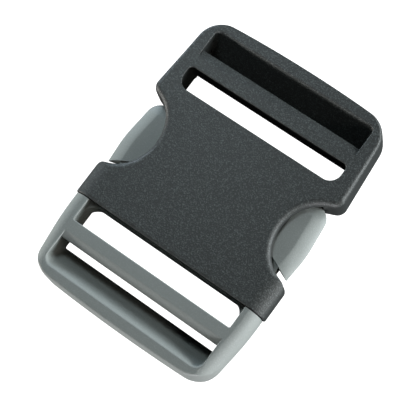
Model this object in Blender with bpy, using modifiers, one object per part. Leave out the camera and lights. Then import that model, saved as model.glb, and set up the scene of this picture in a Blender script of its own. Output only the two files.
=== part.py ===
"""Side release buckle for 50 mm webbing, shown fastened.

Two mouldings: a hollow socket with its webbing frame, and a plug with a frame, two sprung arms and a guide.
X runs across the width, Y along the length towards the socket's end, and Z up. The sizes below are given from
the socket's mouth and underside, and the whole is then placed with the middle of its underside at the origin.
Lengths are in metres.
"""

import math
from collections import namedtuple

import bmesh
import bpy

MM = 0.001
CLEARANCE = 0.3 * MM
OVERRUN = 1.0 * MM  # how far a cutter passes the surface that it cuts
SKIM = 0.02 * MM  # the rail shapes lie this far inside the flat sides that they trim

# Fineness of the faceted surfaces
ARC_STEP = math.radians(15)
SIDE_ROUND_SEGMENTS = 5
EDGE_SEGMENTS = 3
BEVEL_ANGLE = math.radians(50)
SHARP_ANGLE = math.radians(30)
FLAT_ANGLE = math.radians(0.5)
WELD_DISTANCE = 0.001 * MM

# Both webbing frames
SLOT_HALF = 26.0 * MM  # half the length of a slot for 50 mm webbing
SLOT_WIDE_CORNER = 3.5 * MM
SLOT_TIGHT_CORNER = 0.8 * MM
NOSE_DROP = 3.0 * MM  # depth of a middle bar's sloping nose below the top
NOSE_HEIGHT = 1.5 * MM
NOSE_UNDERCUT = 0.9 * MM
BAR_UNDERSIDE = 3.2 * MM  # a middle bar's underside stands this far above the ground
BAR_ROOT = 0.7 * MM  # full height left at each end of a bar's underside
BOW_POINTS = 4  # points along half of an end bar's bowed edge
BOW_SHARE = 0.6  # share of the half width that those points cover

# Socket, in plan
SOCKET_HALF = 31.5 * MM
MOUTH_ROUND = 4.3 * MM  # rounding of the long sides at the mouth, nearly half the thickness
SHOULDER_LOW_Y = 9.9 * MM
SHOULDER_LOW_RADIUS = 2.8 * MM
SCALLOP_CENTRE = (31.3 * MM, 22.6 * MM)
SCALLOP_DEPTH = 10.4 * MM
SCALLOP_REACH = 12.0 * MM  # half the scallop's length along Y
SCALLOP_SPAN = math.radians(150)
SCALLOP_POINTS = 14
SHOULDER_TOP = (31.4 * MM, 35.4 * MM)
SHOULDER_TOP_RADIUS = 1.9 * MM
SOCKET_END_Y = 62.3 * MM
SOCKET_END_CORNER = (29.2 * MM, 61.2 * MM)
SOCKET_CORNER_RADIUS = 7.3 * MM
SOCKET_EDGE = 1.0 * MM
SOCKET_FAR_ROUND = SOCKET_EDGE / 2  # the rail shape's rounding, where the edge's own rounding takes over

# Socket, in height
SOCKET_HEIGHT = 9.5 * MM
PLATE = 2.2 * MM
CAVITY_HALF = 26.8 * MM
CAVITY_END_Y = 36.2 * MM
CAVITY_CORNER = 2.0 * MM

# Webbing frame of the socket
SOCKET_SLOT_Y = (39.4 * MM, 45.9 * MM)
SOCKET_BAR_SLOPE_Y = 49.4 * MM
SOCKET_NOSE_Y = 51.5 * MM
SOCKET_RAMP_FOOT_Y = 52.7 * MM
SOCKET_RAMP_HEAD_Y = 58.6 * MM

# Webbing frame of the plug
PLUG_INSET = 0.2 * MM  # the plug is this much lower than the socket on each face
PLUG_HALF = 30.9 * MM
PLUG_WAIST_Y = -7.0 * MM
PLUG_WAIST_RADIUS = 25.0 * MM
PLUG_END_Y = -24.2 * MM
PLUG_END_CORNER = (29.0 * MM, -23.4 * MM)
PLUG_CORNER_RADIUS = 8.0 * MM
PLUG_EDGE = 1.2 * MM
PLUG_SLOT_Y = (-7.1 * MM, -0.2 * MM)
PLUG_BAR_SLOPE_Y = -10.7 * MM
PLUG_NOSE_Y = -12.6 * MM
PLUG_RAMP_FOOT_Y = -13.6 * MM
PLUG_RAMP_HEAD_Y = -20.8 * MM

# Rails of the plug, from the frame's end to the mouth: each row has its Y and the rounding of the rail there
RailSection = namedtuple("RailSection", "y rounding")
RAIL_SECTIONS = (
    RailSection(-25.5 * MM, 1.0 * MM),
    RailSection(-22.0 * MM, 1.0 * MM),
    RailSection(-19.0 * MM, 2.6 * MM),
    RailSection(-16.0 * MM, 3.6 * MM),
    RailSection(-12.0 * MM, 4.0 * MM),
    RailSection(-7.0 * MM, 4.0 * MM),
    RailSection(-0.3 * MM, 4.0 * MM),
)

# Tongue of the plug
TONGUE_HALF = 26.4 * MM
TONGUE_ROOT_Y = -4.5 * MM  # well inside the slot, so that the slot's own outline shapes the cross-member
ROOT_OVERLAP = 1.6 * MM  # how far the tongue's root reaches into each rail
CROSS_MEMBER_Y = 5.5 * MM
ARM_THICKNESS = 3.1 * MM
ARM_INNER_ROOT = (20.0 * MM, 5.5 * MM)
ARM_INNER_TIP = (19.0 * MM, 17.0 * MM)
ARM_TIP_RADIUS = 3.0 * MM
PAD_INNER_X = 17.5 * MM
PAD_TOP_Y = 32.8 * MM
PAD_WAIST = (30.5 * MM, 20.0 * MM)
PAD_WAIST_RADIUS = 30.0 * MM
PAD_TOP_X = 29.6 * MM
PAD_CORNER_RADIUS = 3.2 * MM
PAD_ROUND = 2.0 * MM
LATCH_INNER = (17.0 * MM, 17.9 * MM)
LATCH_OUTER = (32.0 * MM, 10.4 * MM)
GUIDE_HALF = 3.5 * MM
GUIDE_TIP_HALF = 2.2 * MM
GUIDE_TIP_Y = 26.0 * MM
GUIDE_TIP_RADIUS = 1.0 * MM
GUIDE_THICKNESS = 3.6 * MM

PLUG_LOW = PLUG_INSET
PLUG_TOP = SOCKET_HEIGHT - PLUG_INSET
MIDDLE = SOCKET_HEIGHT / 2
TONGUE_HEIGHT = SOCKET_HEIGHT - 2 * PLATE - 2 * CLEARANCE
LENGTH_MIDDLE = (SOCKET_END_Y + PLUG_END_Y) / 2
PLACE_NAME = "buckle_place"

SOCKET_COLOUR = (0.062, 0.072, 0.075, 1.0)
SOCKET_ROUGHNESS = 0.55
PLUG_COLOUR = (0.185, 0.200, 0.198, 1.0)
PLUG_ROUGHNESS = 0.45


def clear_scene():
    for old in list(bpy.data.objects):
        bpy.data.objects.remove(old, do_unlink=True)


def new_collection(name):
    collection = bpy.data.collections.new(name)
    bpy.context.scene.collection.children.link(collection)
    return collection


def new_place(collection):
    """The empty that carries the buckle, so that the middle of its underside is at the origin."""
    place = bpy.data.objects.new(PLACE_NAME, None)
    place.location = (0, -LENGTH_MIDDLE, 0)
    collection.objects.link(place)


def plastic(name, colour, roughness):
    material = bpy.data.materials.new(name)
    material.use_nodes = True
    shader = material.node_tree.nodes["Principled BSDF"]
    shader.inputs["Base Color"].default_value = colour
    shader.inputs["Roughness"].default_value = roughness
    shader.inputs["Metallic"].default_value = 0.0
    material.diffuse_color = colour
    return material


def both_sides(half):
    """Closes a half outline, given from the -Y end to the +Y end at X > 0, with its mirror image."""
    return half + [(-x, y, radius) for x, y, radius in reversed(half)]


def one_side(side, corners):
    """The corners of a piece at X > 0, put on the right where side is 1 and on the left where it is -1."""
    return [(side * x, y, radius) for x, y, radius in corners]


def fillet(before, corner, after, radius):
    """Points of the arc that rounds one corner of an outline."""
    x, y = corner
    back = math.atan2(before[1] - y, before[0] - x)
    ahead = math.atan2(after[1] - y, after[0] - x)
    opening = (ahead - back + math.pi) % (2 * math.pi) - math.pi
    turn = math.pi - abs(opening)
    if radius <= 0 or turn < FLAT_ANGLE:
        return [corner]
    setback = radius / math.tan(abs(opening) / 2)
    reach = radius / math.sin(abs(opening) / 2)
    centre_angle = back + opening / 2
    centre_x = x + reach * math.cos(centre_angle)
    centre_y = y + reach * math.sin(centre_angle)
    first = math.atan2(y + setback * math.sin(back) - centre_y, x + setback * math.cos(back) - centre_x)
    way = -math.copysign(turn, opening)
    steps = max(2, math.ceil(turn / ARC_STEP))
    points = []
    for i in range(steps + 1):
        angle = first + way * i / steps
        points.append((centre_x + radius * math.cos(angle), centre_y + radius * math.sin(angle)))
    return points


def round_outline(corners):
    """Turns corners of (x, y, radius) into the points of a closed outline."""
    points = []
    for i, (x, y, radius) in enumerate(corners):
        before = corners[i - 1][:2]
        after = corners[(i + 1) % len(corners)][:2]
        points += fillet(before, (x, y), after, radius)
    return points


def link(obj, collection, material=None):
    collection.objects.link(obj)
    obj.parent = bpy.data.objects[PLACE_NAME]
    if material:
        obj.data.materials.append(material)
    return obj


def hide_cutter(obj):
    obj.hide_render = True
    obj.display_type = "WIRE"


def weld(mesh):
    """Closes a curve's loose caps, joins its flat faces and turns them outwards."""
    shape = bmesh.new()
    shape.from_mesh(mesh)
    bmesh.ops.remove_doubles(shape, verts=shape.verts, dist=WELD_DISTANCE)
    bmesh.ops.dissolve_limit(shape, angle_limit=FLAT_ANGLE, verts=shape.verts, edges=shape.edges)
    bmesh.ops.recalc_face_normals(shape, faces=shape.faces)
    shape.to_mesh(mesh)
    shape.free()


def slab(name, corners, low, high, across=False):
    """A flat outline given thickness: between two heights, or between two X where across is set."""
    flat = bpy.data.curves.new(name, "CURVE")
    flat.dimensions = "2D"
    flat.fill_mode = "BOTH"
    flat.extrude = (high - low) / 2
    points = round_outline(corners)
    spline = flat.splines.new("POLY")
    spline.points.add(len(points) - 1)
    for point, (x, y) in zip(spline.points, points):
        point.co = (x, y, 0, 1)
    spline.use_cyclic_u = True
    drawn = bpy.data.objects.new(name + "_curve", flat)
    middle = (low + high) / 2
    drawn.location = (middle, 0, 0) if across else (0, 0, middle)
    drawn.rotation_euler = (math.pi / 2, 0, math.pi / 2) if across else (0, 0, 0)
    bpy.context.scene.collection.objects.link(drawn)
    bpy.context.view_layer.update()
    depsgraph = bpy.context.evaluated_depsgraph_get()
    mesh = bpy.data.meshes.new_from_object(drawn.evaluated_get(depsgraph))
    mesh.transform(drawn.matrix_world)
    bpy.data.objects.remove(drawn, do_unlink=True)
    mesh.name = name
    weld(mesh)
    return bpy.data.objects.new(name, mesh)


def section(half_width, low, high, radius):
    """A rectangle across X with its four corners rounded, as (x, z) points in turn."""
    points = []
    for side_x, side_z, first in ((1, 1, 0.0), (-1, 1, 0.5), (-1, -1, 1.0), (1, -1, 1.5)):
        centre_x = side_x * (half_width - radius)
        centre_z = high - radius if side_z > 0 else low + radius
        for i in range(SIDE_ROUND_SEGMENTS + 1):
            angle = math.pi * (first + 0.5 * i / SIDE_ROUND_SEGMENTS)
            points.append((centre_x + radius * math.cos(angle), centre_z + radius * math.sin(angle)))
    return points


def loft(name, stations):
    """A solid through rounded sections, each given as (y, half width, low, high, corner radius)."""
    shape = bmesh.new()
    rings = []
    for y, half_width, low, high, radius in stations:
        rings.append([shape.verts.new((x, y, z)) for x, z in section(half_width, low, high, radius)])
    count = len(rings[0])
    for lower, upper in zip(rings, rings[1:]):
        for i in range(count):
            shape.faces.new((lower[i], lower[(i + 1) % count], upper[(i + 1) % count], upper[i]))
    shape.faces.new(rings[0])
    shape.faces.new(list(reversed(rings[-1])))
    bmesh.ops.recalc_face_normals(shape, faces=shape.faces)
    mesh = bpy.data.meshes.new(name)
    shape.to_mesh(mesh)
    shape.free()
    return bpy.data.objects.new(name, mesh)


def bevel(obj, width):
    modifier = obj.modifiers.new("edge", "BEVEL")
    modifier.width = width
    modifier.segments = EDGE_SEGMENTS
    modifier.limit_method = "ANGLE"
    modifier.angle_limit = BEVEL_ANGLE
    modifier.use_clamp_overlap = False


def combine(obj, other, operation):
    modifier = obj.modifiers.new(other.name, "BOOLEAN")
    modifier.operation = operation
    modifier.solver = "EXACT"
    modifier.object = other


def bowed_end(corner, end_y, radius):
    """The end of a frame, from its rounded corner to the middle of its slightly bowed edge."""
    corner_x, corner_y = corner
    points = [(corner_x, corner_y, radius)]
    for i in range(BOW_POINTS, 0, -1):
        share = BOW_SHARE * i / BOW_POINTS
        points.append((corner_x * share, end_y + (corner_y - end_y) * share ** 2, 0))
    return points


def socket_outline():
    centre_x, centre_y = SCALLOP_CENTRE
    half = [(SOCKET_HALF, -2 * OVERRUN, 0), (SOCKET_HALF, SHOULDER_LOW_Y, SHOULDER_LOW_RADIUS)]
    for i in range(SCALLOP_POINTS + 1):
        angle = SCALLOP_SPAN * (i / SCALLOP_POINTS - 0.5)
        x = centre_x - SCALLOP_DEPTH * math.cos(angle)
        half.append((x, centre_y + SCALLOP_REACH * math.sin(angle), 0))
    half.append((*SHOULDER_TOP, SHOULDER_TOP_RADIUS))
    half += bowed_end(SOCKET_END_CORNER, SOCKET_END_Y, SOCKET_CORNER_RADIUS)
    return both_sides(half)


def slot_outline(low_y, high_y, low_radius, high_radius):
    return both_sides([(SLOT_HALF, low_y, low_radius), (SLOT_HALF, high_y, high_radius)])


def threading_slot(name, slope_y, nose_y, foot_y, head_y, low, top):
    """The slot that webbing threads through: between a bar's sloping nose and the end bar's ramp.

    Its section is drawn in Y and Z, so the same corners serve the socket and, turned about, the plug.
    """
    away = math.copysign(1.0, nose_y - slope_y)
    rise = (head_y - foot_y) / (top - low)
    slope = (nose_y - slope_y) / NOSE_DROP
    nose_low = top - NOSE_DROP - NOSE_HEIGHT
    corners = [
        (slope_y - slope * OVERRUN, top + OVERRUN, 0),
        (nose_y, top - NOSE_DROP, 0),
        (nose_y, nose_low, 0),
        (nose_y - away * NOSE_UNDERCUT, low, 0),
        (nose_y - away * NOSE_UNDERCUT, low - OVERRUN, 0),
        (foot_y - rise * OVERRUN, low - OVERRUN, 0),
        (head_y + rise * OVERRUN, top + OVERRUN, 0),
    ]
    return slab(name, corners, -SLOT_HALF, SLOT_HALF, across=True)


def bar_relief(name, slot_y, nose_y, low):
    """The space under a middle bar, which joins the plain slot to the threading slot."""
    inner_y, outer_y = sorted((slot_y, nose_y - math.copysign(NOSE_UNDERCUT, nose_y - slot_y)))
    half = SLOT_HALF - BAR_ROOT
    corners = both_sides([(half, inner_y - OVERRUN, 0), (half, outer_y + OVERRUN, 0)])
    return slab(name, corners, low - OVERRUN, BAR_UNDERSIDE)


def make_socket_sides():
    """Rounds the socket's long sides broadly at the mouth, and less and less towards the scallops."""
    wide = SOCKET_HALF + OVERRUN
    return loft("socket_round_sides", [
        (0, SOCKET_HALF - SKIM, 0, SOCKET_HEIGHT, MOUTH_ROUND),
        (SHOULDER_LOW_Y, SOCKET_HALF - SKIM, 0, SOCKET_HEIGHT, MOUTH_ROUND),
        (SCALLOP_CENTRE[1], wide, 0, SOCKET_HEIGHT, SOCKET_FAR_ROUND),
        (SOCKET_END_Y + OVERRUN, wide, 0, SOCKET_HEIGHT, SOCKET_FAR_ROUND),
    ])


def make_socket(parts, cutters):
    socket = slab("socket", socket_outline(), 0, SOCKET_HEIGHT)
    bevel(socket, SOCKET_EDGE)
    round_sides = make_socket_sides()
    cavity_corners = both_sides([(CAVITY_HALF, -3 * OVERRUN, 0), (CAVITY_HALF, CAVITY_END_Y, CAVITY_CORNER)])
    cavity = slab("socket_cavity", cavity_corners, PLATE, SOCKET_HEIGHT - PLATE)
    slot_corners = slot_outline(*SOCKET_SLOT_Y, SLOT_WIDE_CORNER, SLOT_TIGHT_CORNER)
    slot = slab("socket_slot", slot_corners, -OVERRUN, SOCKET_HEIGHT + OVERRUN)
    threading = threading_slot(
        "socket_threading_slot", SOCKET_BAR_SLOPE_Y, SOCKET_NOSE_Y, SOCKET_RAMP_FOOT_Y, SOCKET_RAMP_HEAD_Y,
        0, SOCKET_HEIGHT,
    )
    relief = bar_relief("socket_bar_relief", SOCKET_SLOT_Y[1], SOCKET_NOSE_Y, 0)
    combine(socket, round_sides, "INTERSECT")
    for cutter in (cavity, slot, threading, relief):
        combine(socket, cutter, "DIFFERENCE")
    for helper in (round_sides, cavity, slot, threading, relief):
        hide_cutter(link(helper, cutters))
    return link(socket, parts, plastic("charcoal_plastic", SOCKET_COLOUR, SOCKET_ROUGHNESS))


def plug_frame_outline():
    half = bowed_end(PLUG_END_CORNER, PLUG_END_Y, PLUG_CORNER_RADIUS)
    half.reverse()
    half += [(PLUG_HALF, PLUG_WAIST_Y, PLUG_WAIST_RADIUS), (PLUG_HALF, 2 * OVERRUN, 0)]
    return both_sides(half)


def make_plug_rails():
    """Rounds the plug's rails broadly at the mouth and less and less towards the frame's end."""
    taper = (PLUG_HALF - PLUG_END_CORNER[0]) / (PLUG_WAIST_Y - PLUG_END_CORNER[1])
    stations = []
    for rail in RAIL_SECTIONS:
        half_width = PLUG_HALF - max(0.0, PLUG_WAIST_Y - rail.y) * taper - SKIM
        stations.append((rail.y, half_width, PLUG_LOW, PLUG_TOP, rail.rounding))
    return loft("plug_round_rails", stations)


def tongue_outline():
    """Cross-member with the roots of the arms; the corners beside the slot reach into the rails."""
    root = TONGUE_HALF + ROOT_OVERLAP
    return both_sides([
        (root, TONGUE_ROOT_Y - 2 * OVERRUN, 0),
        (root, -2 * CLEARANCE, 0),
        (TONGUE_HALF, -2 * CLEARANCE, 0),
        (TONGUE_HALF, CROSS_MEMBER_Y, 0),
    ])


def arm_outline(side):
    return one_side(side, [
        (TONGUE_HALF, CROSS_MEMBER_Y - OVERRUN, 0),
        (TONGUE_HALF, LATCH_INNER[1], 0),
        (ARM_INNER_TIP[0], LATCH_INNER[1] + OVERRUN, 0),
        (*ARM_INNER_TIP, ARM_TIP_RADIUS),
        (ARM_INNER_ROOT[0], ARM_INNER_ROOT[1] - OVERRUN, 0),
    ])


def pad_outline(side):
    return one_side(side, [
        (PAD_INNER_X, SHOULDER_LOW_Y, 0),
        (PAD_WAIST[0], SHOULDER_LOW_Y, 0),
        (*PAD_WAIST, PAD_WAIST_RADIUS),
        (PAD_TOP_X, PAD_TOP_Y, PAD_CORNER_RADIUS),
        (PAD_INNER_X, PAD_TOP_Y, PAD_CORNER_RADIUS),
    ])


def latch_outline(side):
    """The cut that squares off the lower end of a press pad."""
    low_y = SHOULDER_LOW_Y - 3 * OVERRUN
    return one_side(side, [
        (*LATCH_INNER, 0),
        (LATCH_INNER[0], low_y, 0),
        (LATCH_OUTER[0], low_y, 0),
        (*LATCH_OUTER, 0),
    ])


def centred(name, corners, thickness):
    return slab(name, corners, MIDDLE - thickness / 2, MIDDLE + thickness / 2)


def make_press_pad(side, cutters):
    name = "right" if side > 0 else "left"
    pad = centred("plug_pad_" + name, pad_outline(side), TONGUE_HEIGHT)
    bevel(pad, PAD_ROUND)
    latch = centred("plug_latch_" + name, latch_outline(side), TONGUE_HEIGHT + 2 * OVERRUN)
    combine(pad, latch, "DIFFERENCE")
    hide_cutter(link(latch, cutters))
    return pad


def make_arm(side):
    name = "right" if side > 0 else "left"
    return centred("plug_arm_" + name, arm_outline(side), ARM_THICKNESS)


def make_guide():
    return centred("plug_guide", both_sides([
        (GUIDE_HALF, CROSS_MEMBER_Y - OVERRUN, 0),
        (GUIDE_TIP_HALF, GUIDE_TIP_Y, GUIDE_TIP_RADIUS),
    ]), GUIDE_THICKNESS)


def make_plug(parts, cutters):
    plug = slab("plug", plug_frame_outline(), PLUG_LOW, PLUG_TOP)
    bevel(plug, PLUG_EDGE)
    rails = make_plug_rails()
    recess_corners = both_sides([(SLOT_HALF, TONGUE_ROOT_Y, 0), (SLOT_HALF, 3 * OVERRUN, 0)])
    recess = slab("plug_recess", recess_corners, -OVERRUN, SOCKET_HEIGHT + OVERRUN)
    slot_corners = slot_outline(*PLUG_SLOT_Y, SLOT_TIGHT_CORNER, SLOT_WIDE_CORNER)
    slot = slab("plug_slot", slot_corners, -OVERRUN, SOCKET_HEIGHT + OVERRUN)
    threading = threading_slot(
        "plug_threading_slot", PLUG_BAR_SLOPE_Y, PLUG_NOSE_Y, PLUG_RAMP_FOOT_Y, PLUG_RAMP_HEAD_Y,
        PLUG_LOW, PLUG_TOP,
    )
    relief = bar_relief("plug_bar_relief", PLUG_SLOT_Y[0], PLUG_NOSE_Y, PLUG_LOW)
    tongue = centred("plug_tongue", tongue_outline(), TONGUE_HEIGHT)
    arms = [make_arm(side) for side in (-1, 1)]
    pads = [make_press_pad(side, cutters) for side in (-1, 1)]
    guide = make_guide()
    combine(plug, rails, "INTERSECT")
    combine(plug, recess, "DIFFERENCE")
    for added in (tongue, *arms, *pads, guide):
        combine(plug, added, "UNION")
    for cutter in (slot, threading, relief):
        combine(plug, cutter, "DIFFERENCE")
    for helper in (rails, recess, tongue, *arms, *pads, guide, slot, threading, relief):
        hide_cutter(link(helper, cutters))
    return link(plug, parts, plastic("grey_plastic", PLUG_COLOUR, PLUG_ROUGHNESS))


def main():
    clear_scene()
    parts = new_collection("side_release_buckle")
    cutters = new_collection("cutters")
    new_place(parts)
    for moulding in (make_socket(parts, cutters), make_plug(parts, cutters)):
        moulding.data.shade_smooth()
        moulding.data.set_sharp_from_angle(angle=SHARP_ANGLE)


main()
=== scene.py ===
"""Looks of a side release buckle for 50 mm webbing: a charcoal socket fastened over a mid-grey plug."""

import math
from collections import namedtuple

import bmesh
import bpy
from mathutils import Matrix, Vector


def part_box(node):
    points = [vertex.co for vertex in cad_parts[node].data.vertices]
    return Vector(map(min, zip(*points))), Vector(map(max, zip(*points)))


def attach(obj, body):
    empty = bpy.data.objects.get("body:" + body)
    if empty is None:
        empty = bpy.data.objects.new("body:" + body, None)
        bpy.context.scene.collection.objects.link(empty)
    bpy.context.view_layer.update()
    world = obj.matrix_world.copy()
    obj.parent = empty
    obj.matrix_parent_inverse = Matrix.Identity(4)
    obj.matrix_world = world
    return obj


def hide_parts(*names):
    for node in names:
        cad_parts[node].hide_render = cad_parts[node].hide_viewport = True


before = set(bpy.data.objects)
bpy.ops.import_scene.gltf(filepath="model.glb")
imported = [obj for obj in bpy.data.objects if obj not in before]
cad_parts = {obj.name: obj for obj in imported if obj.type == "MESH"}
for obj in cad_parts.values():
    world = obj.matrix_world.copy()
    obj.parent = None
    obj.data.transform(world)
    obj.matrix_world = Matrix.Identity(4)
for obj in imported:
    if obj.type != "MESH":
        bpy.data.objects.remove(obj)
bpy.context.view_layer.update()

MM = 0.001
CLEARANCE = 0.3 * MM
OVERRUN = 1.0 * MM  # how far a cutter passes the surface that it cuts
LONG_OVERRUN = 3 * OVERRUN

# Sizes that the frame gives, with Y counted from the socket's mouth
socket_low, socket_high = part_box("socket")
plug_low, plug_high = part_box("plug")
MOUTH_Y = socket_low.y
SOCKET_HALF = socket_high.x
SOCKET_HEIGHT = socket_high.z
SOCKET_END_Y = socket_high.y - MOUTH_Y
PLUG_HALF = plug_high.x
PLUG_LOW = plug_low.z
PLUG_TOP = plug_high.z
PLUG_END_Y = plug_low.y - MOUTH_Y
MIDDLE = SOCKET_HEIGHT / 2

# Fineness of the rounded surfaces
SNAP = 0.01 * MM  # places closer than this count as one, and no rounding is smaller
SKIN = 0.03 * MM  # a rounded space stands this far outside the flat sides that it trims
ROUND_SEGMENTS = 10
EDGE_SEGMENTS = 5
RIM_STEPS = 4
STATION_STEP = 1.0 * MM
SHARP_ANGLE = math.radians(32)
LARGE_FACE_WEIGHT = 80
BOW_POINTS = 8  # points along half of an end bar's bowed edge
BOW_SHARE = 0.66  # share of the half width that those points cover

# Both webbing frames
SLOT_HALF = 26.0 * MM  # half the length of a slot for 50 mm webbing
SLOT_WIDE_CORNER = 3.5 * MM
SLOT_TIGHT_CORNER = 1.4 * MM
SLOT_SHARP_CORNER = 0.4 * MM
NOSE_DROP = 0.8 * MM  # depth of a middle bar's sloping nose below the top
NOSE_HEIGHT = 0.8 * MM  # height of the nose's upright tip
NOSE_UNDERCUT = 1.7 * MM  # how far the bar draws back below that tip
BAR_UNDERSIDE = 3.2 * MM  # a middle bar's underside stands this far above the ground
BAR_ROOT = 0.1 * MM  # full height left at each end of a bar's underside
RIM_ROUND = 0.35 * MM

# Socket
SHOULDER_LOW_Y = 9.9 * MM
SHOULDER_LOW_RADIUS = 2.8 * MM
SCALLOP_CENTRE = Vector((31.3 * MM, 22.6 * MM))
SCALLOP_DEPTH = 10.4 * MM
SCALLOP_REACH = 12.0 * MM  # half the scallop's length along Y
SCALLOP_SPAN = math.radians(150)
SCALLOP_POINTS = 36
SHOULDER_TOP = (31.4 * MM, 35.4 * MM)
SHOULDER_TOP_RADIUS = 2.8 * MM
SOCKET_END_CORNER = (29.2 * MM, 61.2 * MM)
SOCKET_CORNER_RADIUS = 7.3 * MM
MOUTH_ROUND = 4.3 * MM
MOUTH_ROUND_WIDE = 1.4  # the rounding at the mouth is this much wider than high
MOUTH_ROUND_FADE_Y = (12.0 * MM, 30.0 * MM)
SMALL_ROUND = 0.5 * MM  # what is left of it where the outer edges' own rounding takes over
SOCKET_SIDE_EDGE = 1.8 * MM
SOCKET_END_EDGE = 0.9 * MM
SOCKET_END_EDGE_Y = (54.0 * MM, 61.0 * MM)
PLATE = 2.2 * MM
CAVITY_HALF = 26.8 * MM
CAVITY_END_Y = 36.2 * MM
CAVITY_CORNER = 2.0 * MM
SOCKET_SLOT_Y = (39.4 * MM, 45.9 * MM)
SOCKET_BAR_SLOPE_Y = 49.4 * MM
SOCKET_NOSE_Y = 51.5 * MM
SOCKET_RAMP_FOOT_Y = 52.7 * MM
SOCKET_RAMP_HEAD_Y = 58.6 * MM
SOCKET_RAMP_CORNER = 1.6 * MM

# Plug
PLUG_BEND_Y = (-2.0 * MM, -12.0 * MM)
PLUG_END_CORNER = (29.0 * MM, -23.4 * MM)
PLUG_CORNER_RADIUS = 8.0 * MM
RAIL_ROUND = 4.0 * MM
PLUG_EDGE = 0.7 * MM
CROSS_MEMBER_CORNER = 4.6 * MM
PLUG_SLOT_Y = (-7.1 * MM, -0.2 * MM)
PLUG_BAR_SLOPE_Y = -10.7 * MM
PLUG_NOSE_Y = -12.6 * MM
PLUG_RAMP_FOOT_Y = -13.6 * MM
PLUG_RAMP_HEAD_Y = -20.8 * MM
PLUG_RAMP_CORNER = 2.6 * MM

# Tongue of the plug
TONGUE_HALF = 26.4 * MM
TONGUE_HEIGHT = SOCKET_HEIGHT - 2 * PLATE - 2 * CLEARANCE
TONGUE_ROOT_Y = -4.5 * MM
ROOT_OVERLAP = 1.6 * MM  # how far the tongue's root reaches into each rail
TONGUE_RIM = 0.6 * MM
CROSS_MEMBER_Y = 5.5 * MM
ARM_THICKNESS = 3.1 * MM
ARM_INNER_ROOT = (20.0 * MM, 5.5 * MM)
ARM_INNER_TIP = (19.0 * MM, 17.0 * MM)
ARM_TIP_RADIUS = 3.0 * MM
PAD_INNER_X = 17.5 * MM
PAD_LOW_Y = SHOULDER_LOW_Y - 8.0 * MM  # well past the latch cut, which ends the pad
PAD_TOP_Y = 33.6 * MM
PAD_WAIST = (30.5 * MM, 20.0 * MM)
PAD_WAIST_RADIUS = 30.0 * MM
PAD_TOP_X = 29.2 * MM
PAD_CORNER = 4.2 * MM
PAD_TUCK = 1.4 * MM  # how much narrower the pad is at its low end than at its waist
PAD_ROUND = 4.0 * MM  # how wide the pad's rounded rim is
PAD_ROUND_DEPTH = 2.15 * MM
PAD_PROFILE = 0.36  # between a flat chamfer at 0.25 and a round edge at 0.5
LATCH_INNER = (17.0 * MM, 17.9 * MM)
LATCH_OUTER = (32.0 * MM, 11.0 * MM)
GUIDE_HALF = 3.5 * MM
GUIDE_TIP_HALF = 2.2 * MM
GUIDE_TIP_Y = 26.0 * MM
GUIDE_TIP_RADIUS = 1.0 * MM
GUIDE_THICKNESS = 3.6 * MM

# Finishes: colours are linear, grain and clouds are in waves per metre and relief in metres
WHITE = (1, 1, 1, 1)
# The light colours give the grain's lighter specks on the faces that look up or down: partly the plastic's
# own grain tone, partly painted glints of lit grain facets.
SOCKET_DARK = (0.0188, 0.0212, 0.0206, 1)
SOCKET_LIGHT = (0.082, 0.094, 0.092, 1)
SOCKET_GRAIN = 2600.0
SOCKET_RELIEF = 0.10 * MM
SOCKET_ROUGHNESS = 0.54
PLUG_DARK = (0.222, 0.240, 0.231, 1)
PLUG_LIGHT = (0.262, 0.283, 0.273, 1)
PLUG_GRAIN = 3200.0
PLUG_RELIEF = 0.035 * MM
PLUG_ROUGHNESS = 0.58
GRAIN_DETAIL = 2.0
GRAIN_HARSHNESS = 0.6
CLOUD_SCALE = 60.0
CLOUD_DETAIL = 3.0
CLOUD_HARSHNESS = 0.5
CLOUD_DEPTH = 0.04  # how much lighter or darker the clouds make a colour
WALL_TILT = 0.15  # upright part of a normal below which a face is a smooth wall
TOP_TILT = 0.6  # and above which it has all of the grain
# Grain heights above this range take the light colour: the lighter specks are partly painted glints.
SPECKLE_AND_GLINT_RANGE = (0.5, 0.72)  # heights of the grain between which the colour turns from dark to light
MIX_DARK, MIX_LIGHT, MIX_RESULT = 6, 7, 2  # places of the colour sockets on a Mix node

# Studio
FLOOR_SIZE = 4.0
FLOOR_ALBEDO = 0.2
FLOOR_GLOW = 1.3
PAPER_ROUGHNESS = 0.95
ROOM_LIGHT = 0.005

# Camera, fitted to the photo: its place is counted from the middle of the socket's mouth, at its upper face
CAMERA_PLACE = Vector((113.410 * MM, -50.327 * MM, 374.334 * MM))
CAMERA_TURN = (17.5119, 7.6226, 36.4965)  # degrees about X, Y and Z
CAMERA_LENS = 129.8  # millimetres, as is the sensor's width
CAMERA_SENSOR = 36
CAMERA_NEAR = 10 * MM

# Soft boxes: angles in degrees as seen from the buckle, distance and size in metres, power in watts
SoftBox = namedtuple("SoftBox", "name azimuth elevation distance size power colour")
LIGHT_DISTANCE = 0.45
TALL_BOX = (0.15, 0.12)
FLAT_BOX = (0.15, 0.03)
SOFT_BOXES = (
    SoftBox("right_back_box", 25, 9, LIGHT_DISTANCE, TALL_BOX, 2.45, (0.94, 1.0, 1.02)),
    SoftBox("back_box", 60, 8, LIGHT_DISTANCE, TALL_BOX, 1.5, (0.95, 1.0, 1.03)),
    SoftBox("left_back_box", 150, 9, LIGHT_DISTANCE, TALL_BOX, 1.1, (0.84, 1.0, 1.12)),
    SoftBox("right_front_box", 300, 4, LIGHT_DISTANCE, FLAT_BOX, 2.1, (1.0, 1.0, 1.03)),
    SoftBox("left_front_box", 210, 4, LIGHT_DISTANCE, FLAT_BOX, 1.8, (1.03, 1.0, 0.95)),
    SoftBox("right_high_box", 0, 25, LIGHT_DISTANCE, (0.15, 0.10), 0.3, (1.10, 1.0, 0.90)),
    SoftBox("top_box", 138, 58, 0.20, (0.06, 0.06), 0.12, (0.88, 1.0, 1.04)),
)


# Drawing, rounding and joining shapes

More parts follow.
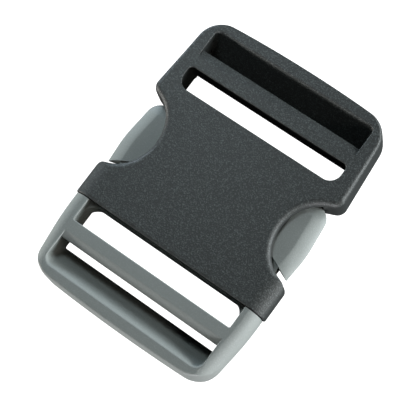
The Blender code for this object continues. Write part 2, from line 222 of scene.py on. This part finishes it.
def select_only(piece):
    bpy.ops.object.select_all(action="DESELECT")
    piece.select_set(True)
    bpy.context.view_layer.objects.active = piece


def edit(piece, kind="VERT"):
    select_only(piece)
    bpy.ops.object.mode_set(mode="EDIT")
    bpy.ops.mesh.select_mode(type=kind)


def leave_edit():
    bpy.ops.object.mode_set(mode="OBJECT")


def pick_vertex(piece, place):
    """Selects the one vertex of a flat outline that lies nearest to a place."""
    bpy.ops.mesh.select_all(action="DESELECT")
    shape = bmesh.from_edit_mesh(piece.data)
    nearest = min(shape.verts, key=lambda vertex: (vertex.co.xy - Vector(place)).length)
    nearest.select_set(True)
    shape.select_flush_mode()


def setback(before, corner, after, radius):
    """How far from a corner its rounding starts, for a given radius."""
    back = Vector(before[:2]) - Vector(corner[:2])
    ahead = Vector(after[:2]) - Vector(corner[:2])
    return radius / math.tan(back.angle(ahead) / 2)


def both_sides(half):
    """Closes a half outline, given from the -Y end to the +Y end at X > 0, with its mirror image."""
    return half + [(-x, y, radius) for x, y, radius in reversed(half)]


def one_side(side, corners):
    """Puts an outline that is given at X > 0 on the side 1 or -1."""
    return [(side * x, y, radius) for x, y, radius in corners]


def draw_outline(name, corners):
    """A flat face, still in edit mode, with its corners at (x, y), each rounded to its radius."""
    bpy.ops.object.select_all(action="DESELECT")
    bpy.ops.mesh.primitive_circle_add(vertices=len(corners), radius=MM, fill_type="NGON")
    piece = bpy.context.object
    piece.name = name
    edit(piece)
    for i, (x, y, _) in enumerate(corners):
        bpy.ops.mesh.select_all(action="DESELECT")
        shape = bmesh.from_edit_mesh(piece.data)
        shape.verts.ensure_lookup_table()
        shape.verts[i].select_set(True)
        start = shape.verts[i].co.copy()
        bpy.ops.transform.translate(value=(x - start.x, y - start.y, 0))
    for i, corner in enumerate(corners):
        if corner[2] > 0:
            after = corners[(i + 1) % len(corners)]
            cut = setback(corners[i - 1], corner, after, corner[2])
            pick_vertex(piece, corner[:2])
            bpy.ops.mesh.bevel(offset=cut, segments=ROUND_SEGMENTS, affect="VERTICES", profile=0.5)
    return piece


def slab(name, corners, low, high):
    """A drawn outline given thickness between two heights."""
    piece = draw_outline(name, corners)
    bpy.ops.mesh.select_all(action="SELECT")
    bpy.ops.transform.translate(value=(0, 0, low))
    bpy.ops.mesh.extrude_region_move(TRANSFORM_OT_translate={"value": (0, 0, high - low)})
    bpy.ops.mesh.select_all(action="SELECT")
    bpy.ops.mesh.normals_make_consistent(inside=False)
    leave_edit()
    return piece


def apply_bevel(piece, width, segments, rounded, profile=0.5):
    """Rounds the edges that rounded picks by their two ends."""
    select_only(piece)
    bpy.ops.object.modifier_add(type="BEVEL")
    rounding = piece.modifiers[-1]
    rounding.width = width
    rounding.segments = segments
    rounding.profile = profile
    rounding.use_clamp_overlap = False
    rounding.limit_method = "WEIGHT"
    weights = piece.data.attributes.new("bevel_weight_edge", "FLOAT", "EDGE")
    places = [vertex.co for vertex in piece.data.vertices]
    for edge, weight in zip(piece.data.edges, weights.data):
        weight.value = float(rounded(*(places[i] for i in edge.vertices)))
    bpy.ops.object.modifier_apply(modifier=rounding.name)
    piece.data.attributes.remove(piece.data.attributes["bevel_weight_edge"])


def stack(name, outlines, lying=False):
    """A solid through like outlines, each given as (place, corners): stacked upwards, or along Y if lying."""
    rings = []
    for place, corners in outlines:
        ring = draw_outline("ring", corners)
        if 0 < len(rings) < len(outlines) - 1:
            bpy.ops.mesh.select_all(action="SELECT")
            bpy.ops.mesh.delete(type="ONLY_FACE")
        bpy.ops.mesh.select_all(action="SELECT")
        if lying:
            bpy.ops.transform.rotate(value=-math.pi / 2, orient_axis="X", center_override=(0, 0, 0))
            bpy.ops.transform.translate(value=(0, place, 0))
        else:
            bpy.ops.transform.translate(value=(0, 0, place))
        leave_edit()
        rings.append(ring)
    select_only(rings[0])
    for ring in rings:
        ring.select_set(True)
    bpy.ops.object.join()
    piece = bpy.context.object
    piece.name = name
    edit(piece, "EDGE")
    bpy.ops.mesh.select_all(action="SELECT")
    bpy.ops.mesh.bridge_edge_loops()
    bpy.ops.mesh.select_all(action="SELECT")
    bpy.ops.mesh.normals_make_consistent(inside=False)
    leave_edit()
    return piece


def rounded_section(half, low, high, radius):
    """A section across the buckle, drawn flat: its heights are Y until it is laid down."""
    return both_sides([(half, low, radius), (half, high, radius)])


def combine(piece, other, operation):
    """Cuts with another shape, or joins it on, and takes that shape away."""
    select_only(piece)
    bpy.ops.object.modifier_add(type="BOOLEAN")
    joint = piece.modifiers[-1]
    joint.operation = operation
    joint.solver = "EXACT"
    joint.object = other
    bpy.ops.object.modifier_apply(modifier=joint.name)
    bpy.data.objects.remove(other, do_unlink=True)


# Edges and slots of both webbing frames

def bowed_end(corner, end_y, radius):
    """The end of a frame, from its rounded corner to the middle of its slightly bowed edge."""
    corner_x, corner_y = corner
    points = [(corner_x, corner_y, radius)]
    for i in range(BOW_POINTS, 0, -1):
        share = BOW_SHARE * i / BOW_POINTS
        points.append((corner_x * share, end_y + (corner_y - end_y) * share ** 2, 0))
    return points


def fade(value, start, end):
    """Goes smoothly from 0 at start to 1 at end."""
    t = min(1.0, max(0.0, (value - start) / (end - start)))
    return t * t * (3 - 2 * t)


def drawn_in(corners, amount):
    """A closed outline drawn in, at each of its corners, by what amount gives for the corner's Y."""
    drawn = []
    for i, (x, y, radius) in enumerate(corners):
        corner = Vector((x, y))
        back = (corner - Vector(corners[i - 1][:2])).normalized()
        ahead = (Vector(corners[(i + 1) % len(corners)][:2]) - corner).normalized()
        inwards = (Vector((-back.y, back.x)) + Vector((-ahead.y, ahead.x))).normalized()
        inset = amount(y)
        moved = corner + inwards * inset / inwards.dot(Vector((-ahead.y, ahead.x)))
        turn = back.cross(ahead)
        drawn.append((moved.x, moved.y, radius and max(SNAP, radius - math.copysign(inset, turn))))
    return drawn


def rim_depths(rim):
    """Depths below a face at which the rounding of a rim is drawn, from the face to the rounding's foot."""
    turns = [math.pi / 2 * i / RIM_STEPS for i in range(RIM_STEPS + 1)]
    return [rim * (1 - math.cos(turn)) for turn in turns]


def block_heights(low, top, rim):
    """Heights at which a block is drawn between its two faces, so that its rims come out round."""
    depths = rim_depths(rim)
    return [low + depth for depth in depths] + [top - depth for depth in reversed(depths)]


def cutter_heights(low, top, rim):
    """The same heights for a cutter, which breaks through both faces."""
    return [low - OVERRUN, *block_heights(low, top, rim), top + OVERRUN]


def flare(z, low, top, rim):
    """How much a cutter widens, or a block is drawn in, at a height, so that both faces get round rims."""
    reach = max(0.0, rim - max(0.0, min(z - low, top - z)))
    return rim - math.sqrt(rim * rim - reach * reach)


def straight(value, start, end):
    """Reads the straight line through two (place, size) points."""
    return start[1] + (end[1] - start[1]) * (value - start[0]) / (end[0] - start[0])


def plain_slot(name, low_y, high_y, low_radius, high_radius, low, top, rim=RIM_ROUND, foot=None):
    """A straight slot through two faces, with round rims.

    Where a foot radius is given, the corners sharpen to it downwards.
    """
    outlines = []
    for z in cutter_heights(low, top, rim):
        wider = flare(z, low, top, rim)
        height = min(top, max(low, z))
        near, far = (straight(height, (low, foot or size), (top, size)) for size in (low_radius, high_radius))
        half = [
            (SLOT_HALF + wider, low_y - wider, near + wider),
            (SLOT_HALF + wider, high_y + wider, far + wider),
        ]
        outlines.append((z, both_sides(half)))
    return stack(name, outlines)


def threading_slot(name, slope_y, nose_y, foot_y, head_y, low, top, corner):
    """The slot between a middle bar's sloping nose and the end bar's ramp, with rounder corners upwards."""
    outwards = math.copysign(1.0, nose_y - slope_y)
    undercut_y = nose_y - outwards * NOSE_UNDERCUT
    nose_top = top - NOSE_DROP
    nose_low = nose_top - NOSE_HEIGHT
    outlines = []
    for z in sorted(cutter_heights(low, top, RIM_ROUND) + [nose_low, nose_top]):
        if z < nose_low:
            bar_y = straight(max(z, low), (low, undercut_y), (nose_low, nose_y))
        else:
            bar_y = straight(max(z, nose_top), (nose_top, nose_y), (top, slope_y))
        ramp_y = straight(z, (low, foot_y), (top, head_y))
        wider = flare(z, low, top, RIM_ROUND)
        radius = straight(max(z, low), (low, SLOT_SHARP_CORNER), (top, corner))
        half = sorted([
            (SLOT_HALF + wider, bar_y - outwards * wider, 0),
            (SLOT_HALF + wider, ramp_y + outwards * wider, radius),
        ], key=lambda point: point[1])
        outlines.append((z, both_sides(half)))
    return stack(name, outlines)


def bar_relief(name, slot_y, nose_y, low):
    """The space under a middle bar, which joins the plain slot to the threading slot."""
    inner_y, outer_y = sorted((slot_y, nose_y - math.copysign(NOSE_UNDERCUT, nose_y - slot_y)))
    half = SLOT_HALF - BAR_ROOT
    corners = both_sides([(half, inner_y - OVERRUN, 0), (half, outer_y + OVERRUN, 0)])
    return slab(name, corners, low - OVERRUN, BAR_UNDERSIDE)


def finish_surface(piece):
    """Puts the mesh at its place, shades it smooth between its sharp edges and keeps its flats flat."""
    edit(piece)
    bpy.ops.mesh.select_all(action="SELECT")
    bpy.ops.transform.translate(value=(0, MOUTH_Y, 0))
    leave_edit()
    bpy.ops.object.shade_smooth_by_angle(angle=SHARP_ANGLE)
    bpy.ops.object.modifier_add(type="WEIGHTED_NORMAL")
    normals = piece.modifiers[-1]
    normals.keep_sharp = True
    normals.weight = LARGE_FACE_WEIGHT
    bpy.ops.object.modifier_apply(modifier=normals.name)


def stations(start, end):
    """Places along Y from start to end, about one STATION_STEP apart."""
    count = round((end - start) / STATION_STEP)
    return [start + (end - start) * i / count for i in range(count + 1)]


# The socket

def socket_outline():
    """The socket's outline from above, with its finger scallops; it starts outside the mouth."""
    half = [
        (SOCKET_HALF, -OVERRUN, 0),
        (SOCKET_HALF, SHOULDER_LOW_Y, SHOULDER_LOW_RADIUS),
    ]
    for i in range(SCALLOP_POINTS + 1):
        angle = SCALLOP_SPAN * (i / SCALLOP_POINTS - 0.5)
        x = SCALLOP_CENTRE.x - SCALLOP_DEPTH * math.cos(angle)
        half.append((x, SCALLOP_CENTRE.y + SCALLOP_REACH * math.sin(angle), 0))
    half.append((*SHOULDER_TOP, SHOULDER_TOP_RADIUS))
    half += bowed_end(SOCKET_END_CORNER, SOCKET_END_Y, SOCKET_CORNER_RADIUS)
    return both_sides(half)


def make_socket_sides():
    """The space that the socket's rounded sides fill: broadly round at the mouth, sharper towards its end."""
    body = stations(RIM_ROUND, MOUTH_ROUND_FADE_Y[1] + OVERRUN)[1:]
    sections = []
    for y in rim_depths(RIM_ROUND) + body + [SOCKET_END_Y + OVERRUN]:
        inset = flare(y, 0, math.inf, RIM_ROUND) - SKIN  # only the mouth gets a round rim here
        radius = MOUTH_ROUND + (SMALL_ROUND - MOUTH_ROUND) * fade(y, *MOUTH_ROUND_FADE_Y)
        half = (SOCKET_HALF - inset) / MOUTH_ROUND_WIDE
        sections.append((y, rounded_section(half, inset, SOCKET_HEIGHT - inset, radius - inset)))
    sides = stack("socket_sides", sections, lying=True)
    edit(sides)
    bpy.ops.mesh.select_all(action="SELECT")
    bpy.ops.transform.resize(value=(MOUTH_ROUND_WIDE, 1, 1), center_override=(0, 0, 0))
    leave_edit()
    return sides


def socket_edge(y):
    """How round the socket's outer edges are: sharper at its end than along its sides and scallops."""
    return SOCKET_SIDE_EDGE + (SOCKET_END_EDGE - SOCKET_SIDE_EDGE) * fade(y, *SOCKET_END_EDGE_Y)


def make_socket_block():
    """The socket's outer block, with its edges rounded by drawing the outline in near both faces."""
    whole = socket_outline()
    outlines = []
    for z in block_heights(0, SOCKET_HEIGHT, SOCKET_SIDE_EDGE):
        outlines.append((z, drawn_in(whole, lambda y: flare(z, 0, SOCKET_HEIGHT, socket_edge(y)))))
    return stack("socket_moulding", outlines)


def make_socket():
    """The socket: a rounded block, hollowed out from its mouth, with its slots and its bar cut out."""
    socket = make_socket_block()
    combine(socket, make_socket_sides(), "INTERSECT")
    cavity_corners = both_sides([
        (CAVITY_HALF, -LONG_OVERRUN, 0),
        (CAVITY_HALF, CAVITY_END_Y, CAVITY_CORNER),
    ])
    cutters = (
        slab("socket_cavity", cavity_corners, PLATE, SOCKET_HEIGHT - PLATE),
        plain_slot(
            "socket_slot", *SOCKET_SLOT_Y, SLOT_WIDE_CORNER, SLOT_TIGHT_CORNER,
            0, SOCKET_HEIGHT, foot=SLOT_SHARP_CORNER,
        ),
        threading_slot(
            "socket_threading_slot", SOCKET_BAR_SLOPE_Y, SOCKET_NOSE_Y,
            SOCKET_RAMP_FOOT_Y, SOCKET_RAMP_HEAD_Y, 0, SOCKET_HEIGHT, SOCKET_RAMP_CORNER,
        ),
        bar_relief("socket_bar_relief", SOCKET_SLOT_Y[1], SOCKET_NOSE_Y, 0),
    )
    for cutter in cutters:
        combine(socket, cutter, "DIFFERENCE")
    finish_surface(socket)
    return socket


# The plug

def plug_side_x(y):
    """Half the plug's width, straight near the mouth and then tapering after a gentle bend."""
    start, end = PLUG_BEND_Y
    corner_x, corner_y = PLUG_END_CORNER
    taper = (PLUG_HALF - corner_x) / ((start + end) / 2 - corner_y)
    if y > end:
        return PLUG_HALF - taper * max(0.0, start - y) ** 2 / (2 * (start - end))
    return PLUG_HALF - taper * ((start + end) / 2 - y)


def plug_outline():
    """The plug's outline from above, up to the gap before the socket's mouth."""
    half = bowed_end(PLUG_END_CORNER, PLUG_END_Y, PLUG_CORNER_RADIUS)
    half.reverse()
    y = PLUG_RAMP_FOOT_Y
    while y < -CLEARANCE:
        half.append((plug_side_x(y), y, 0))
        y += STATION_STEP
    half.append((PLUG_HALF, -CLEARANCE, 0))
    return both_sides(half)


def centred(name, corners, thickness):
    """A slab at the middle of the buckle's height."""
    return slab(name, corners, MIDDLE - thickness / 2, MIDDLE + thickness / 2)


def lies_flat(a, b):
    """Whether an edge, given by its two ends, is level."""
    return abs(a.z - b.z) < SNAP


def make_press_pad(side):
    """One press pad: drawn too thick, rounded, and then pressed flat, so that its rim is elliptical."""
    stretch = PAD_ROUND / PAD_ROUND_DEPTH
    pad = centred("plug_pad", one_side(side, [
        (PAD_INNER_X, PAD_LOW_Y, PAD_CORNER),
        (PAD_WAIST[0] - PAD_TUCK, PAD_LOW_Y, PAD_CORNER),
        (*PAD_WAIST, PAD_WAIST_RADIUS),
        (PAD_TOP_X, PAD_TOP_Y, PAD_CORNER),
        (PAD_INNER_X, PAD_TOP_Y, PAD_CORNER),
    ]), TONGUE_HEIGHT * stretch)
    apply_bevel(pad, PAD_ROUND, ROUND_SEGMENTS, lies_flat, profile=PAD_PROFILE)
    edit(pad)
    bpy.ops.mesh.select_all(action="SELECT")
    bpy.ops.transform.resize(value=(1, 1, 1 / stretch), center_override=(0, 0, MIDDLE))
    leave_edit()
    latch = centred("plug_latch", one_side(side, [
        (*LATCH_INNER, 0),
        (LATCH_INNER[0], PAD_LOW_Y - OVERRUN, 0),
        (LATCH_OUTER[0], PAD_LOW_Y - OVERRUN, 0),
        (*LATCH_OUTER, 0),
    ]), TONGUE_HEIGHT + 2 * OVERRUN)
    combine(pad, latch, "DIFFERENCE")
    return pad


def make_arm(side):
    """One sprung arm, from the cross-member to the inside of its pad."""
    return centred("plug_arm", one_side(side, [
        (TONGUE_HALF, CROSS_MEMBER_Y - OVERRUN, 0),
        (TONGUE_HALF, LATCH_INNER[1], 0),
        (ARM_INNER_TIP[0], LATCH_INNER[1] + OVERRUN, 0),
        (*ARM_INNER_TIP, ARM_TIP_RADIUS),
        (ARM_INNER_ROOT[0], ARM_INNER_ROOT[1] - OVERRUN, 0),
    ]), ARM_THICKNESS)


def make_tongue():
    """The cross-member inside the mouth, with the end of the plain slot cut into it."""
    root = TONGUE_HALF + ROOT_OVERLAP
    tongue = centred("plug_tongue", both_sides([
        (root, TONGUE_ROOT_Y, 0),
        (root, -2 * CLEARANCE, 0),
        (TONGUE_HALF, -2 * CLEARANCE, 0),
        (TONGUE_HALF, CROSS_MEMBER_Y, 0),
    ]), TONGUE_HEIGHT)
    low, top = MIDDLE - TONGUE_HEIGHT / 2, MIDDLE + TONGUE_HEIGHT / 2
    slot = plain_slot("slot_end", *PLUG_SLOT_Y, SLOT_SHARP_CORNER, CROSS_MEMBER_CORNER, low, top, TONGUE_RIM)
    combine(tongue, slot, "DIFFERENCE")
    return tongue


def make_guide():
    """The short tapering guide between the arms."""
    return centred("plug_guide", both_sides([
        (GUIDE_HALF, CROSS_MEMBER_Y - OVERRUN, 0),
        (GUIDE_TIP_HALF, GUIDE_TIP_Y, GUIDE_TIP_RADIUS),
    ]), GUIDE_THICKNESS)


def make_plug_rails():
    """The space that the plug's round rails fill, following the plug's taper."""
    sections = []
    for y in stations(PLUG_END_Y - OVERRUN, OVERRUN):
        section = rounded_section(plug_side_x(y) + SKIN, PLUG_LOW - SKIN, PLUG_TOP + SKIN, RAIL_ROUND)
        sections.append((y, section))
    return stack("plug_rails", sections, lying=True)


def past_mouth(a, b):
    """Whether an edge of the plug's frame is level and doesn't run along the socket's mouth."""
    return lies_flat(a, b) and min(a.y, b.y) < -CLEARANCE - SNAP


def make_plug_block():
    """The plug's outer block, with all its outer edges rounded but those against the mouth."""
    block = stack("plug_moulding", [(z, plug_outline()) for z in (PLUG_LOW, PLUG_TOP)])
    apply_bevel(block, PLUG_EDGE, EDGE_SEGMENTS, past_mouth)
    return block


def make_plug():
    """The plug: a frame with its slots and bar cut out, joined to what goes into the socket."""
    plug = make_plug_block()
    combine(plug, make_plug_rails(), "INTERSECT")
    cutters = (
        plain_slot("plug_slot", PLUG_SLOT_Y[0], LONG_OVERRUN, SLOT_SHARP_CORNER, 0, PLUG_LOW, PLUG_TOP),
        threading_slot(
            "plug_threading_slot", PLUG_BAR_SLOPE_Y, PLUG_NOSE_Y,
            PLUG_RAMP_FOOT_Y, PLUG_RAMP_HEAD_Y, PLUG_LOW, PLUG_TOP, PLUG_RAMP_CORNER,
        ),
        bar_relief("plug_bar_relief", PLUG_SLOT_Y[0], PLUG_NOSE_Y, PLUG_LOW),
    )
    for cutter in cutters:
        combine(plug, cutter, "DIFFERENCE")
    inner_parts = (
        make_tongue(),
        make_arm(-1),
        make_arm(1),
        make_press_pad(-1),
        make_press_pad(1),
        make_guide(),
    )
    for inner_part in inner_parts:
        combine(plug, inner_part, "UNION")
    finish_surface(plug)
    return plug


# Finishes of the two plastics and the paper

def add_node(material, kind, **settings):
    """Adds a shader node; a setting is one of its sockets, by name, or else one of its own values."""
    node = material.node_tree.nodes.new(kind)
    for name, value in settings.items():
        socket_name = name.replace("_", " ").title()
        if socket_name in node.inputs:
            node.inputs[socket_name].default_value = value
        else:
            setattr(node, name, value)
    return node


def link(material, output, target):
    material.node_tree.links.new(output, target)


def moulded_plastic(name, dark, light, grain, relief, roughness):
    """Moulded plastic with a fine grain on the faces that look up or down and smooth upright walls; the
    grain's lighter specks are partly its own tone and partly painted glints.
    """
    material = bpy.data.materials.new(name)
    material.use_nodes = True
    shader = material.node_tree.nodes["Principled BSDF"]
    shader.inputs["Roughness"].default_value = roughness
    place = add_node(material, "ShaderNodeTexCoord")

    grains = add_node(
        material, "ShaderNodeTexNoise", scale=grain, detail=GRAIN_DETAIL, roughness=GRAIN_HARSHNESS,
    )
    link(material, place.outputs["Object"], grains.inputs["Vector"])
    clouds = add_node(
        material, "ShaderNodeTexNoise", scale=CLOUD_SCALE, detail=CLOUD_DETAIL, roughness=CLOUD_HARSHNESS,
    )
    link(material, place.outputs["Object"], clouds.inputs["Vector"])

    facing = add_node(material, "ShaderNodeSeparateXYZ")
    link(material, place.outputs["Normal"], facing.inputs["Vector"])
    tilt = add_node(material, "ShaderNodeMath", operation="ABSOLUTE")
    link(material, facing.outputs["Z"], tilt.inputs[0])
    grained = add_node(
        material, "ShaderNodeMapRange", interpolation_type="SMOOTHSTEP",
        from_min=WALL_TILT, from_max=TOP_TILT,
    )
    link(material, tilt.outputs["Value"], grained.inputs["Value"])

    # Lighter specks of the grain: partly the plastic's own tone, partly painted glints of lit grain facets.
    speckle_and_glint = add_node(
        material, "ShaderNodeMapRange", from_min=SPECKLE_AND_GLINT_RANGE[0], from_max=SPECKLE_AND_GLINT_RANGE[1],
    )
    link(material, grains.outputs["Fac"], speckle_and_glint.inputs["Value"])
    masked = add_node(material, "ShaderNodeMath", operation="MULTIPLY")
    link(material, speckle_and_glint.outputs["Result"], masked.inputs[0])
    link(material, grained.outputs["Result"], masked.inputs[1])

    tint = add_node(material, "ShaderNodeMix", data_type="RGBA", blend_type="MIX")
    tint.inputs[MIX_DARK].default_value = dark
    tint.inputs[MIX_LIGHT].default_value = light
    link(material, masked.outputs["Value"], tint.inputs["Factor"])

    shade = add_node(
        material, "ShaderNodeMapRange", to_min=1.0 - CLOUD_DEPTH, to_max=1.0 + CLOUD_DEPTH,
    )
    link(material, clouds.outputs["Fac"], shade.inputs["Value"])
    clouded = add_node(material, "ShaderNodeVectorMath", operation="SCALE")
    link(material, tint.outputs[MIX_RESULT], clouded.inputs["Vector"])
    link(material, shade.outputs["Result"], clouded.inputs["Scale"])
    link(material, clouded.outputs["Vector"], shader.inputs["Base Color"])

    depth = add_node(material, "ShaderNodeMath", operation="MULTIPLY")
    link(material, grains.outputs["Fac"], depth.inputs[0])
    link(material, grained.outputs["Result"], depth.inputs[1])
    bump = add_node(material, "ShaderNodeBump", strength=1.0, distance=relief)
    link(material, depth.outputs["Value"], bump.inputs["Height"])
    link(material, bump.outputs["Normal"], shader.inputs["Normal"])
    return material


def light_paper(name, albedo, glow):
    """Pale paper over a light table: it glows, so that it shows as an even white."""
    material = bpy.data.materials.new(name)
    material.use_nodes = True
    shader = material.node_tree.nodes["Principled BSDF"]
    shader.inputs["Base Color"].default_value = (albedo, albedo, albedo, 1)
    shader.inputs["Roughness"].default_value = PAPER_ROUGHNESS
    shader.inputs["Specular IOR Level"].default_value = 0.0
    shader.inputs["Emission Color"].default_value = WHITE
    shader.inputs["Emission Strength"].default_value = glow
    return material


# The studio

def add_soft_box(soft_box):
    """A rectangular studio light that faces the buckle."""
    data = bpy.data.lights.new(soft_box.name, "AREA")
    data.shape = "RECTANGLE"
    data.size, data.size_y = soft_box.size
    data.energy = soft_box.power
    data.color = soft_box.colour
    box = bpy.data.objects.new(soft_box.name, data)
    bpy.context.scene.collection.objects.link(box)
    turn = math.radians(soft_box.azimuth)
    lift = math.radians(soft_box.elevation)
    towards = Vector((math.cos(lift) * math.cos(turn), math.cos(lift) * math.sin(turn), math.sin(lift)))
    box.location = soft_box.distance * towards
    box.rotation_euler = (-towards).to_track_quat("-Z", "Y").to_euler()


def add_camera():
    data = bpy.data.cameras.new("camera")
    data.sensor_width = CAMERA_SENSOR
    data.lens = CAMERA_LENS
    data.clip_start = CAMERA_NEAR
    camera = bpy.data.objects.new("camera", data)
    bpy.context.scene.collection.objects.link(camera)
    camera.location = CAMERA_PLACE + Vector((0, MOUTH_Y, SOCKET_HEIGHT))
    camera.rotation_euler = [math.radians(angle) for angle in CAMERA_TURN]
    bpy.context.scene.camera = camera


def add_room():
    """The faint light of the studio's walls."""
    world = bpy.data.worlds.new("studio")
    bpy.context.scene.world = world
    world.use_nodes = True
    background = world.node_tree.nodes["Background"]
    background.inputs["Color"].default_value = WHITE
    background.inputs["Strength"].default_value = ROOM_LIGHT


# The buckle on its floor, and the studio round it

socket = make_socket()
socket.data.materials.append(moulded_plastic(
    "charcoal_grained_plastic", SOCKET_DARK, SOCKET_LIGHT, SOCKET_GRAIN, SOCKET_RELIEF, SOCKET_ROUGHNESS,
))
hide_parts("socket")
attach(socket, "root")

plug = make_plug()
plug.data.materials.append(moulded_plastic(
    "grey_satin_plastic", PLUG_DARK, PLUG_LIGHT, PLUG_GRAIN, PLUG_RELIEF, PLUG_ROUGHNESS,
))
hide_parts("plug")
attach(plug, "root")

bpy.ops.object.select_all(action="DESELECT")
bpy.ops.mesh.primitive_plane_add(size=FLOOR_SIZE, location=(0, 0, 0))
floor = bpy.context.object
floor.name = "floor"
floor.data.materials.append(light_paper("pale_paper", FLOOR_ALBEDO, FLOOR_GLOW))
# The glowing paper stays out of bounced light, which would fill the slots and the hollow
floor.visible_diffuse = False
floor.visible_glossy = False

add_camera()
add_room()
for soft_box in SOFT_BOXES:
    add_soft_box(soft_box)
bpy.context.scene.view_settings.view_transform = "Standard"
